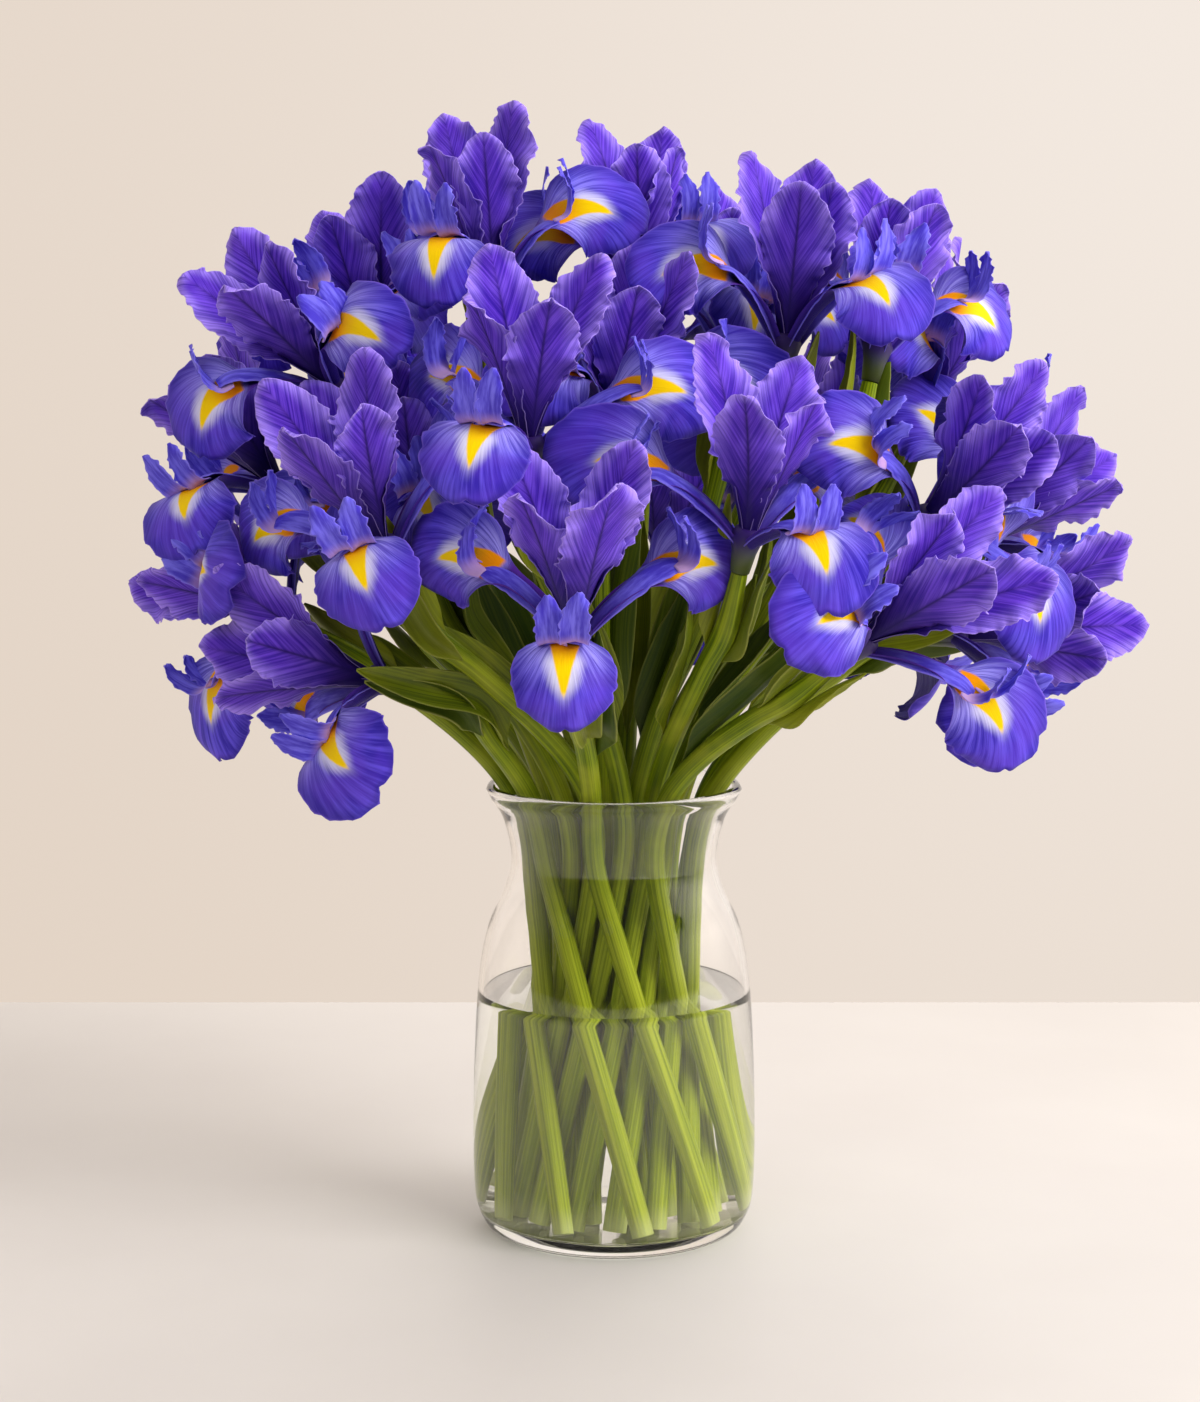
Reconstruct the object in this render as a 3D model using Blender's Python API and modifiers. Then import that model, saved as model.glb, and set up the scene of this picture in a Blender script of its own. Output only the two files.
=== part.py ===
"""A bunch of blue irises standing in a waisted glass vase of water.

Metres, +Z up, origin at the centre of the vase's foot. Each iris is a stem, which carries
its green sheath, and a flower that sits on the stem's top: three falls, three style arms
above them and three standards between them, all grown from one tube.
"""

import itertools
import math

import bmesh
import bpy
import numpy as np
from mathutils import Matrix, Vector
from mathutils.bvhtree import BVHTree

MM = 0.001
GAP = 0.35 * MM  # between pieces that touch

# The vase, as (radius, height) down its outer side from the rim to the foot.
VASE_OUTLINE = [
    (54.0, 190.5),
    (46.8, 177.0),
    (43.4, 160.0),
    (47.0, 145.0),
    (53.6, 130.0),
    (58.0, 104.0),
    (60.2, 55.0),
    (59.8, 17.0),
    (56.4, 4.5),
    (48.0, 0.0),
]
VASE_SIDES = 32
WALL = 2.4 * MM
FLOOR = 8.0 * MM
WATER_LEVEL = 103.0 * MM

# The stems' rings: (how many, radius at the waist, at the mouth and at the foot, and the
# twist between foot and waist in degrees). Neighbouring rings twist opposite ways.
WAIST_HEIGHT = 157.0 * MM
MOUTH_HEIGHT = 191.0 * MM
STEM_RINGS = [
    (6, 11.0, 14.0, 17.0, 50.0),
    (13, 23.0, 29.0, 32.0, -62.0),
    (9, 34.8, 44.0, 45.0, 66.0),
]
STEM_RADIUS = 4.7 * MM
NECK_RADIUS = 3.4 * MM  # just under the flower
SHEATH_RADIUS = 5.6 * MM  # where the green sheath wraps the ovary
SHEATH_BELOW = 26.0 * MM  # from the flower down to the sheath's widest place
MOUTH_STEPS = 3
BEND_STEPS = 6

# Where each flower grows from its stem: bearing round the vase in degrees (0 is the front,
# 90 the right), reach from the vase's axis and height in millimetres, lean from upright,
# the bearing that it leans towards, its turn, which is 0 with a fall hanging forward, and
# its form.
IRISES = [
    # the front and its two shoulders
    (-7, 118, 256, 22, -4, 0, "open"),
    (-21, 90, 324, 12, -10, 0, "open"),
    (26, 110, 290, 18, 60, 10, "open"),
    (42, 128, 254, 50, 66, -10, "open"),
    (-44, 120, 286, 28, -54, 40, "open"),
    (-54, 100, 240, 76, -78, 60, "open"),
    (-82, 120, 254, 64, -88, 0, "open"),
    (-93, 132, 306, 44, -94, 60, "open"),
    (-82, 108, 348, 40, -84, 90, "upright"),
    (-70, 80, 282, 20, -75, 60, "upright"),
    # the crown
    (-108, 100, 354, 16, -112, 60, "upright"),
    (-80, 48, 374, 4, -45, 45, "upright"),
    (150, 26, 374, 4, 60, 0, "upright"),
    (66, 74, 362, 7, 55, -55, "upright"),
    (122, 60, 366, 7, 120, 30, "upright"),
    (-4, 34, 332, 12, 40, 60, "upright"),
    (90, 106, 360, 14, 92, 0, "upright"),
    # the right side
    (67, 126, 298, 34, 76, 0, "open"),
    (114, 138, 330, 28, 104, 0, "upright"),
    (104, 150, 282, 54, 102, 60, "open"),
    (80, 130, 256, 82, 88, 60, "open"),
    # the back
    (140, 126, 294, 38, 140, 0, "open"),
    (131, 124, 248, 70, 128, 60, "open"),
    (172, 124, 262, 46, 172, 0, "open"),
    (-160, 120, 302, 32, -160, 60, "open"),
    (-130, 124, 256, 60, -130, 0, "open"),
    (172, 74, 346, 16, 172, 40, "upright"),
    (-130, 118, 316, 32, -126, 30, "upright"),
]

# One flower, standing up with its base at the origin: each petal is a row of stations
# (distance from the axis, height, width). An open flower spreads its falls flat; an upright
# one, which is younger, still holds everything in.
FLOWER_TUBE = [(3.4, 0.0), (4.4, 8.0), (6.6, 17.0)]  # (radius, height)
PETAL_THICKNESS = 1.3 * MM
FORMS = {
    "open": {
        "fall": [(2, 10, 6), (18, 21, 9), (35, 31, 14), (48, 30, 36), (60, 9, 25)],
        "style_arm": [(2, 14, 6), (19, 29, 12), (35, 54, 20)],
        "standard": [(2, 12, 6), (11, 40, 20), (18, 65, 24), (23, 80, 9)],
    },
    "upright": {
        "fall": [(2, 10, 6), (12, 25, 9), (26, 38, 14), (38, 37, 33), (47, 17, 24)],
        "style_arm": [(2, 12, 6), (14, 31, 12), (25, 58, 19)],
        "standard": [(2, 12, 6), (8, 40, 19), (14, 67, 23), (16, 81, 9)],
    },
}

# How a flower may be moved off its neighbours: by turning it, lifting it along its axis
# (millimetres), tilting it and swinging the way it leans (degrees). Each is listed with
# the step that costs as much as one step of any other.
TURNS = (10, range(-60, 61, 10))
LIFTS = (4, range(-12, 21, 4))
TILTS = (5, range(-15, 16, 5))
SWINGS = (12, range(-24, 25, 12))
MOVES_TRIED = 500
ROUNDS = 4
CLEARANCE = 0.45 * MM
FLOWER_REACH = 70 * MM

STEM_GREEN = (0.20, 0.32, 0.06, 1.0)
IRIS_VIOLET = (0.13, 0.06, 0.55, 1.0)
GLASS_TINT = (0.93, 0.95, 0.93, 1.0)
WATER_TINT = (0.90, 0.94, 0.86, 1.0)


def clear_scene():
    for obj in list(bpy.data.objects):
        bpy.data.objects.remove(obj)


def new_collection(name):
    collection = bpy.data.collections.new(name)
    bpy.context.scene.collection.children.link(collection)
    return collection


def new_material(name, colour, roughness, transmission=0.0):
    material = bpy.data.materials.new(name)
    material.use_nodes = True
    shader = material.node_tree.nodes["Principled BSDF"]
    shader.inputs["Base Color"].default_value = colour
    shader.inputs["Roughness"].default_value = roughness
    shader.inputs["Transmission Weight"].default_value = transmission
    return material


def new_object(name, data, collection, material=None):
    obj = bpy.data.objects.new(name, data)
    if material:
        data.materials.append(material)
    collection.objects.link(obj)
    return obj


def hide_helper(obj):
    obj.hide_render = True
    obj.display_type = "WIRE"
    return obj


def applied_mesh(obj):
    """The object's mesh as its modifiers leave it."""
    graph = bpy.context.evaluated_depsgraph_get()
    return bpy.data.meshes.new_from_object(obj.evaluated_get(graph))


# The vase and its water ---------------------------------------------------------------


def smooth_outline(points, steps):
    """Points along the curve through these, as (radius, height), steps to each span."""
    made = []
    for i in range(len(points) - 1):
        before = points[max(i - 1, 0)]
        here, after = points[i], points[i + 1]
        beyond = points[min(i + 2, len(points) - 1)]
        for k in range(steps):
            t = k / steps
            weights = (
                (-t**3 + 2 * t**2 - t) / 2,
                (3 * t**3 - 5 * t**2 + 2) / 2,
                (-3 * t**3 + 4 * t**2 + t) / 2,
                (t**3 - t**2) / 2,
            )
            row = (before, here, after, beyond)
            made.append(tuple(sum(w * p[axis] for w, p in zip(weights, row)) for axis in (0, 1)))
    made.append(points[-1])
    return [(radius * MM, height * MM) for radius, height in made]


def inner_outline():
    """The vase's inner side from the rim down to the floor's edge."""
    outer = [p for p in smooth_outline(VASE_OUTLINE, 2) if p[1] > FLOOR + WALL]
    inner = [(radius - WALL, height) for radius, height in outer]
    last_radius = inner[-1][0]
    inner += [(last_radius - 1.2 * MM, FLOOR + 1.6 * MM), (last_radius - 4 * MM, FLOOR)]
    return inner


def turned(name, profile, collection, material):
    """A solid of revolution: the profile's outer side runs from top to bottom."""
    mesh = bpy.data.meshes.new(name)
    points = [(radius, 0.0, height) for radius, height in profile]
    mesh.from_pydata(points, [(i, i + 1) for i in range(len(points) - 1)], [])
    obj = new_object(name, mesh, collection, material)
    screw = obj.modifiers.new("turn", "SCREW")
    screw.steps = screw.render_steps = VASE_SIDES
    screw.use_merge_vertices = True
    screw.merge_threshold = 0.00001
    return obj


def make_vase(collection, material):
    inner = inner_outline()
    lip = (VASE_OUTLINE[0][0] * MM - WALL / 2, inner[0][1] + 0.45 * WALL)
    profile = [(0.0, FLOOR)] + inner[::-1] + [lip] + smooth_outline(VASE_OUTLINE, 2)
    return turned("vase", profile + [(0.0, 0.0)], collection, material)


def make_water(collection, material, cutters):
    wet = [(r - GAP, h + GAP) for r, h in inner_outline() if h < WATER_LEVEL - 2 * MM]
    above, below = [p for p in inner_outline() if p[1] >= WATER_LEVEL - 2 * MM][-1], wet[0]
    share = (WATER_LEVEL - below[1]) / (above[1] - below[1])
    edge = below[0] + share * (above[0] - GAP - below[0])
    profile = [(0.0, WATER_LEVEL), (edge, WATER_LEVEL)] + wet + [(0.0, FLOOR + GAP)]
    water = turned("water", profile, collection, material)
    for cutter in cutters:
        cut = water.modifiers.new("round_" + cutter.name, "BOOLEAN")
        cut.operation = "DIFFERENCE"
        cut.object = cutter
    return water


# The stems ----------------------------------------------------------------------------


def around(bearing, reach, height):
    """The point at this bearing in degrees: 0 is the front, -Y, and 90 the right, +X."""
    angle = math.radians(bearing)
    return Vector((reach * math.sin(angle), -reach * math.cos(angle), height))


def flower_axis(lean, faces):
    tip = math.radians(lean)
    return around(faces, math.sin(tip), math.cos(tip))


def share_out_waist():
    """The foot, waist and mouth of each stem, evenly spaced in its ring, with the rings filled from the crown
    outwards, and each ring turned so that its stems reach the least far round."""
    order = sorted(range(len(IRISES)), key=lambda i: IRISES[i][1] - 0.55 * (IRISES[i][2] - 240))
    places = {}
    for count, waist, mouth, foot, twist in STEM_RINGS:
        ring, order = order[:count], order[count:]
        ring.sort(key=lambda i: IRISES[i][0])
        pitch = 360.0 / count
        offsets = [IRISES[i][0] - pitch * k for k, i in enumerate(ring)]
        start = sum(offsets) / count
        for k, i in enumerate(ring):
            bearing = start + pitch * k
            places[i] = (
                around(bearing + twist, foot * MM, FLOOR + GAP),
                around(bearing, waist * MM, WAIST_HEIGHT),
                around(bearing, mouth * MM, MOUTH_HEIGHT),
            )
    return places


def hermite(start, start_pull, end, end_pull, t):
    return (
        (2 * t**3 - 3 * t**2 + 1) * start
        + (t**3 - 2 * t**2 + t) * start_pull
        + (-2 * t**3 + 3 * t**2) * end
        + (t**3 - t**2) * end_pull
    )


def stem_route(foot, waist, mouth, head, axis):
    """Points and radii from the foot straight to the waist, over the mouth's edge and in one
    bend to the head."""
    run = (waist - foot).normalized()
    foot = foot + Vector((0, 0, STEM_RADIUS * math.sqrt(1 - run.z**2)))
    out = ((mouth - waist).normalized() + (head - mouth).normalized()).normalized()
    rise = (mouth - waist).length
    length = (head - mouth).length
    through = [
        hermite(waist, run * rise, mouth, out * rise, t / MOUTH_STEPS) for t in range(MOUTH_STEPS)
    ]
    bend = [
        hermite(mouth, out * length * 0.9, head, axis * length * 0.9, t / BEND_STEPS)
        for t in range(BEND_STEPS)
    ]
    bend = [p for p in bend if (p - head).length > SHEATH_BELOW + 8 * MM]
    points = [foot, foot.lerp(waist, 0.55)] + through + bend
    radii = [STEM_RADIUS] * len(points) + [SHEATH_RADIUS, NECK_RADIUS]
    return points + [head - axis * SHEATH_BELOW, head - axis * GAP], radii


def tube(name, points, radii, collection, material=None, extra=0.0):
    """A round rod through the points, as a curve with filled ends."""
    data = bpy.data.curves.new(name, "CURVE")
    data.dimensions = "3D"
    data.bevel_depth = 1.0
    data.bevel_resolution = 1
    data.use_fill_caps = True
    spline = data.splines.new("POLY")
    spline.points.add(len(points) - 1)
    for spot, place, radius in zip(spline.points, points, radii):
        spot.co = (*place, 1.0)
        spot.radius = radius + extra
    return new_object(name, data, collection, material)


def as_mesh(curve, collection):
    """The tube as a welded mesh object, in place of its curve."""
    mesh = applied_mesh(curve)
    shape = bmesh.new()
    shape.from_mesh(mesh)
    bmesh.ops.remove_doubles(shape, verts=shape.verts, dist=0.00001)
    bmesh.ops.recalc_face_normals(shape, faces=shape.faces)
    shape.to_mesh(mesh)
    shape.free()
    name = curve.name
    bpy.data.objects.remove(curve)
    return new_object(name, mesh, collection)


# The flowers --------------------------------------------------------------------------


def petal(name, stations, bearing, collection):
    """A closed blade along its stations, standing out from the axis at this bearing."""
    shape = bmesh.new()
    rows = []
    for reach, height, width in stations:
        middle = Vector((reach, 0, height)) * MM
        half = Vector((0, width / 2, 0)) * MM
        rows.append([shape.verts.new(middle - half), shape.verts.new(middle + half)])
    for low, high in zip(rows, rows[1:]):
        shape.faces.new((low[0], low[1], high[1], high[0]))
    shape.transform(Matrix.Rotation(math.radians(bearing), 4, "Z"))
    mesh = bpy.data.meshes.new(name)
    shape.to_mesh(mesh)
    shape.free()
    blade = hide_helper(new_object(name, mesh, collection))
    skin = blade.modifiers.new("thickness", "SOLIDIFY")
    skin.thickness = PETAL_THICKNESS
    skin.offset = 0.0
    skin.use_even_offset = True
    return blade


def flower_tube(collection):
    """The closed, flaring tube that every petal grows from."""
    shape = bmesh.new()
    rings = []
    for radius, height in FLOWER_TUBE:
        ring = [around(60 * k, radius * MM, height * MM) for k in range(6)]
        rings.append([shape.verts.new(place) for place in ring])
    for low, high in zip(rings, rings[1:]):
        for k in range(6):
            shape.faces.new((low[k], low[k - 5], high[k - 5], high[k]))
    shape.faces.new(rings[0][::-1])
    shape.faces.new(rings[-1])
    mesh = bpy.data.meshes.new("flower_tube")
    shape.to_mesh(mesh)
    shape.free()
    return new_object("flower_tube", mesh, collection)


def flower_mesh(form, collection):
    """The whole flower as one closed mesh: its nine petals joined to their tube."""
    core = flower_tube(collection)
    for turn in (0, 120, 240):
        for kind, stations in FORMS[form].items():
            bearing = turn + 60 if kind == "standard" else turn
            blade = petal(f"{form}_{kind}_{turn}", stations, bearing, collection)
            join = core.modifiers.new(blade.name, "BOOLEAN")
            join.operation = "UNION"
            join.solver = "MANIFOLD"
            join.object = blade
    mesh = applied_mesh(core)
    mesh.name = form + "_iris"
    bpy.data.objects.remove(core)
    return mesh


# Finding room for every flower --------------------------------------------------------


class Growth:
    """One iris as it would stand: its flower's matrix, a search tree of the flower grown by
    the clearance, and its stem as a row of balls."""

    def __init__(self, iris, ends, mesh, turn=0, lift=0, tilt=0, swing=0):
        bearing, reach, height, lean, faces, iris_turn, _ = iris
        lean, faces = lean + tilt, faces + swing
        self.axis = flower_axis(lean, faces)
        self.head = around(bearing, reach * MM, height * MM) + self.axis * lift * MM
        self.matrix = flower_matrix(self.head, lean, faces, iris_turn + turn)
        points = [self.matrix @ (v.co + v.normal * CLEARANCE) for v in mesh.vertices]
        self.tree = BVHTree.FromPolygons(points, [tuple(p.vertices) for p in mesh.polygons])
        self.middle = self.head + self.axis * FLOWER_REACH / 2
        self.route = stem_route(*ends, self.head, self.axis)
        self.balls = stem_balls(*self.route)

    def hits(self, other):
        """How much of the two overlaps: 0 when they are clear of each other."""
        found = 0
        if (self.middle - other.middle).length < 2 * FLOWER_REACH:
            found += len(self.tree.overlap(other.tree))
        found += balls_in_flower(self.balls, other) + balls_in_flower(other.balls, self)
        apart = np.linalg.norm(self.balls[:, None, :3] - other.balls[None, :, :3], axis=2)
        limit = self.balls[:, None, 3] + other.balls[None, :, 3] + GAP
        return found + int((apart < limit).sum())


def stem_balls(points, radii):
    """Balls (x, y, z, radius) that fill the stem, one every few millimetres."""
    balls = []
    for k in range(len(points) - 1):
        steps = max(1, round((points[k + 1] - points[k]).length / (4 * MM)))
        for t in range(steps):
            share = (t + 0.5) / steps
            place = points[k].lerp(points[k + 1], share)
            balls.append((*place, radii[k] + share * (radii[k + 1] - radii[k])))
    return np.array(balls)


def balls_in_flower(balls, growth):
    near = np.linalg.norm(balls[:, :3] - np.array(growth.middle), axis=1) < 1.2 * FLOWER_REACH
    return sum(
        growth.tree.find_nearest(Vector(ball[:3]), ball[3] + CLEARANCE)[0] is not None
        for ball in balls[near]
    )


def moves():
    """Every way that a flower may be moved, the smallest move first."""
    found = []
    for turn, lift, tilt, swing in itertools.product(
        TURNS[1], LIFTS[1], TILTS[1], SWINGS[1]
    ):
        cost = (
            abs(turn) / TURNS[0]
            + abs(lift) / LIFTS[0]
            + abs(tilt) / TILTS[0]
            + abs(swing) / SWINGS[0]
        )
        found.append((cost, turn, lift, tilt, swing))
    return [move for _, *move in sorted(found)]


def grow_apart(meshes, ends):
    """Places the irises in their order, each by the smallest move that clears those that
    stand already, and goes round again while any of them still touch."""
    growths = {}
    for round_number in range(ROUNDS):
        for i, iris in enumerate(IRISES):
            others = [growth for k, growth in growths.items() if k != i]
            if i in growths and not any(growths[i].hits(other) for other in others):
                continue
            best = None
            for move in moves()[:MOVES_TRIED]:
                growth = Growth(iris, ends[i], meshes[iris[-1]], *move)
                hits = 0
                for other in others:
                    hits += growth.hits(other)
                    if best and hits >= best[0]:
                        break
                if best is None or hits < best[0]:
                    best = (hits, growth, move)
                if best[0] == 0:
                    break
            growths[i] = best[1]
            print("round", round_number + 1, "iris", i + 1, "hits", best[0], best[2])
    return [growths[i] for i in range(len(IRISES))]


def flower_matrix(base, lean, faces, turn):
    """Stands the flower on base, its axis leaning and its first fall hanging forward."""
    axis = flower_axis(lean, faces)
    forward = flower_axis(lean + 90, faces)
    across = axis.cross(forward)
    frame = Matrix((forward, across, axis)).transposed().to_4x4()
    return Matrix.Translation(base) @ frame @ Matrix.Rotation(math.radians(turn), 4, "Z")


def main():
    clear_scene()
    bouquet = new_collection("irises_in_vase")
    cutters = new_collection("cutters")
    green = new_material("stem_green", STEM_GREEN, 0.5)
    violet = new_material("iris_violet", IRIS_VIOLET, 0.6)
    glass = new_material("clear_glass", GLASS_TINT, 0.02, 1.0)
    clear_water = new_material("clear_water", WATER_TINT, 0.0, 1.0)

    make_vase(bouquet, glass)
    meshes = {form: flower_mesh(form, cutters) for form in FORMS}
    for mesh in meshes.values():
        mesh.materials.append(violet)
    channels = []
    for i, growth in enumerate(grow_apart(meshes, share_out_waist())):
        number = f"{i + 1:02d}"
        points, radii = growth.route
        tube("stem_" + number, points, radii, bouquet, green)
        flower = new_object("flower_" + number, meshes[IRISES[i][-1]], bouquet)
        flower.matrix_world = growth.matrix
        wet = tube("channel_" + number, points[:3], radii[:3], cutters, extra=GAP)
        channels.append(hide_helper(as_mesh(wet, cutters)))
    make_water(bouquet, clear_water, channels)


main()
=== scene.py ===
# %% [markdown]
# # Irises in a glass vase
#
# The CAD model of this bunch is a set of plain solids: a turned vase, its water, one rod for
# every stem and one star of flat blades for every flower. They say where each piece is and how
# large it is. This lesson gives every piece its real look, and leaves each one in its place.

import math

import bpy
import numpy as np
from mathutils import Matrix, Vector


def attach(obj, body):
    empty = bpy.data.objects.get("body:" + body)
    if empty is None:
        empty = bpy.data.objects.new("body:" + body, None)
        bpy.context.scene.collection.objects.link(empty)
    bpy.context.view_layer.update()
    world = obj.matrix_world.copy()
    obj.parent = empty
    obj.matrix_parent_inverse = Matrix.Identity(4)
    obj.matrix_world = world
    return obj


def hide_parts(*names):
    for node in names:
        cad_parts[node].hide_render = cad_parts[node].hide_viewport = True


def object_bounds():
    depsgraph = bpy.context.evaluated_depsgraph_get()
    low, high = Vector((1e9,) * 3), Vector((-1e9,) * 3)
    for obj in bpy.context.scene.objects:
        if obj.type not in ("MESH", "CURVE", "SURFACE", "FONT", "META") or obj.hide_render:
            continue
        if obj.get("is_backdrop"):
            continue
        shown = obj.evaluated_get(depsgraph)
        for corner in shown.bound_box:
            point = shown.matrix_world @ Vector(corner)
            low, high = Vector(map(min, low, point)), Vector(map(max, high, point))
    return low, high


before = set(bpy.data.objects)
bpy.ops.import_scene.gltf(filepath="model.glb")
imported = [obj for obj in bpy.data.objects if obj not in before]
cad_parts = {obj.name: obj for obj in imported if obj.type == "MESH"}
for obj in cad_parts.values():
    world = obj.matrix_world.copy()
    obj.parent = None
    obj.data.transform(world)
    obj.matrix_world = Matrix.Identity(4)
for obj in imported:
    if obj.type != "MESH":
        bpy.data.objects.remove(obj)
cad_low, cad_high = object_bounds()
MM = 0.001
FLOWERS = sorted(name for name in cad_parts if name.startswith("flower_"))
STEMS = sorted(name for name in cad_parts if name.startswith("stem_"))


def placed(name, data):
    """A new object in the scene that holds this mesh, light or camera."""
    obj = bpy.data.objects.new(name, data)
    bpy.context.scene.collection.objects.link(obj)
    return obj


print(len(FLOWERS), "flowers on", len(STEMS), "stems")

# %% [markdown]
# ## Reading the stems
#
# A look has to sit on its solid exactly, so the first job is to read where each stem runs. A
# stem's solid is a bent tube, and slicing it every few millimetres gives its middle line.
# Walking up the tube from its foot is safer than sorting its vertices, because the triangles
# of a CAD mesh come in no order that can be relied on.

# %% Slice a tube
STEP = 4 * MM


def triangles_of(node):
    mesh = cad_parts[node].data
    mesh.calc_loop_triangles()
    points = np.empty(len(mesh.vertices) * 3)
    mesh.vertices.foreach_get("co", points)
    corners = np.empty(len(mesh.loop_triangles) * 3, int)
    mesh.loop_triangles.foreach_get("vertices", corners)
    return points.reshape(-1, 3)[corners.reshape(-1, 3)]


def slice_tube(triangles, place, direction, near=14 * MM):
    """The middle and radius of the cut near place, or None past the tube's end."""
    height = (triangles - place) @ direction
    after, height_after = np.roll(triangles, -1, axis=1), np.roll(height, -1, axis=1)
    crosses = height * height_after < 0
    share = height / np.where(crosses, height - height_after, 1)
    points = triangles + share[..., None] * (after - triangles)
    cut = crosses.sum(axis=1) == 2
    ends = points[cut][crosses[cut]].reshape(-1, 2, 3)
    ends = ends[np.linalg.norm(ends.mean(axis=1) - place, axis=1) < near]
    if len(ends) < 5:
        return None
    lengths = np.linalg.norm(ends[:, 0] - ends[:, 1], axis=1)
    middles = ends.mean(axis=1)
    middle = np.average(middles, axis=0, weights=lengths)
    return middle, np.average(np.linalg.norm(middles - middle, axis=1), weights=lengths)


# %% Walk up every stem
def unit(vector):
    return vector / np.linalg.norm(vector)


def trace_stem(node):
    """Points up the stem's middle, from its foot to its top, and its radius at each."""
    triangles = triangles_of(node)
    corners = triangles.reshape(-1, 3)
    foot = corners[corners[:, 2] < corners[:, 2].min() + 5 * MM].mean(axis=0)
    direction = np.array((0.0, 0.0, 1.0))
    found = [slice_tube(triangles, foot + direction * STEP, direction)]
    while len(found) < 300:
        nearer = slice_tube(triangles, found[-1][0] + direction * STEP, direction)
        if nearer is None:
            break
        direction = unit(nearer[0] - found[-1][0])
        found.append(nearer)
    middles = np.array([middle for middle, _ in found])
    axis = unit(middles[-1] - middles[-5])
    top = middles[-1] + axis * ((corners - middles[-1]) @ axis).max()
    up = unit(middles[3] - middles[0])
    foot = middles[0] - up * ((middles[0] - corners) @ up).max()
    radii = [radius for _, radius in found]
    return np.array([foot, *middles, top]), np.array([radii[0], *radii, radii[-1]])


ROUTES = {name: trace_stem(name) for name in STEMS}
print("longest stem", round(max(len(points) for points, _ in ROUTES.values()) * STEP, 3), "m")

# %% [markdown]
# ## Reading the flowers
#
# An iris has threefold symmetry: three falls that arch out and down, three standards that rise
# between them, and three style arms over the falls. So a flower's place is its stem's top, its
# axis is the stem's last direction, and its turn is the bearing of its falls. The falls reach
# furthest from the axis. Tripling their bearings before averaging folds all three falls onto
# one, which is the usual trick for anything with threefold symmetry.


# %% Find each flower's place, axis and turn
def flower_frame(node, stem):
    points = np.unique(np.round(triangles_of(node).reshape(-1, 3), 6), axis=0)
    route = ROUTES[stem][0]
    axis = unit(route[-2] - route[-6])
    base = route[-1] + axis * 0.3 * MM
    offset = points - base
    flat = offset - (offset @ axis)[:, None] * axis
    reach = np.linalg.norm(flat, axis=1)
    side = unit(np.cross(axis, (0.0, 0.3, 1.0) if abs(axis[0]) > 0.9 else (1.0, 0.2, 0.0)))
    across = np.cross(axis, side)
    far = reach > 0.9 * reach.max()
    bearing = np.arctan2(flat[far] @ across, flat[far] @ side)
    turn = np.angle(np.exp(3j * bearing).sum()) / 3
    forward = math.cos(turn) * side + math.sin(turn) * across
    form = "open" if reach.max() > 55 * MM else "upright"
    return base, np.stack((forward, np.cross(axis, forward), axis)), form


FRAMES = {name: flower_frame(name, name.replace("flower", "stem")) for name in FLOWERS}
print("open flowers:", sum(form == "open" for _, _, form in FRAMES.values()))

# %% [markdown]
# ## Petals as numbers
#
# A petal is a sheet that follows a spine. Across the spine it has an outline, which says how
# wide it is, and a section, which says how it curls. Real petals are never flat at the edge:
# the edge grows faster than the middle, so it has to ruffle. Building the sheet as an array
# keeps all of this in a few lines, and lets every petal differ a little from the next.

# %% Curves through a few points


def eased(points, count):
    """Even steps along the smooth curve through these points."""
    points = np.array(points, float)
    padded = np.vstack((2 * points[0] - points[1], points, 2 * points[-1] - points[-2]))
    t = np.linspace(0, 1, 24, endpoint=False)[:, None]
    spans = []
    for a, b, c, d in zip(padded, padded[1:], padded[2:], padded[3:]):
        spans.append(
            b + 0.5 * t * (c - a + t * (2 * a - 5 * b + 4 * c - d + t * (3 * (b - c) + d - a)))
        )
    curve = np.vstack((*spans, points[-1:]))
    along = np.concatenate(([0], np.cumsum(np.linalg.norm(np.diff(curve, axis=0), axis=1))))
    even = np.linspace(0, along[-1], count)
    return np.stack([np.interp(even, along, column) for column in curve.T], axis=1), even


def profile(table, share):
    """The smooth function through the table's (share, value) rows, read at every share."""
    curve, _ = eased(table, 200)
    return np.interp(share, curve[:, 0], curve[:, 1])


def waves(rng, along, pitch):
    """An uneven ripple of about unit height with this pitch."""
    ripple = np.zeros_like(along)
    for part, weight in ((1.0, 0.75), (0.62, 0.45), (1.7, 0.35)):
        ripple += weight * np.sin(2 * np.pi * along / (pitch * part) + rng.uniform(0, 2 * np.pi))
    return ripple


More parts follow.
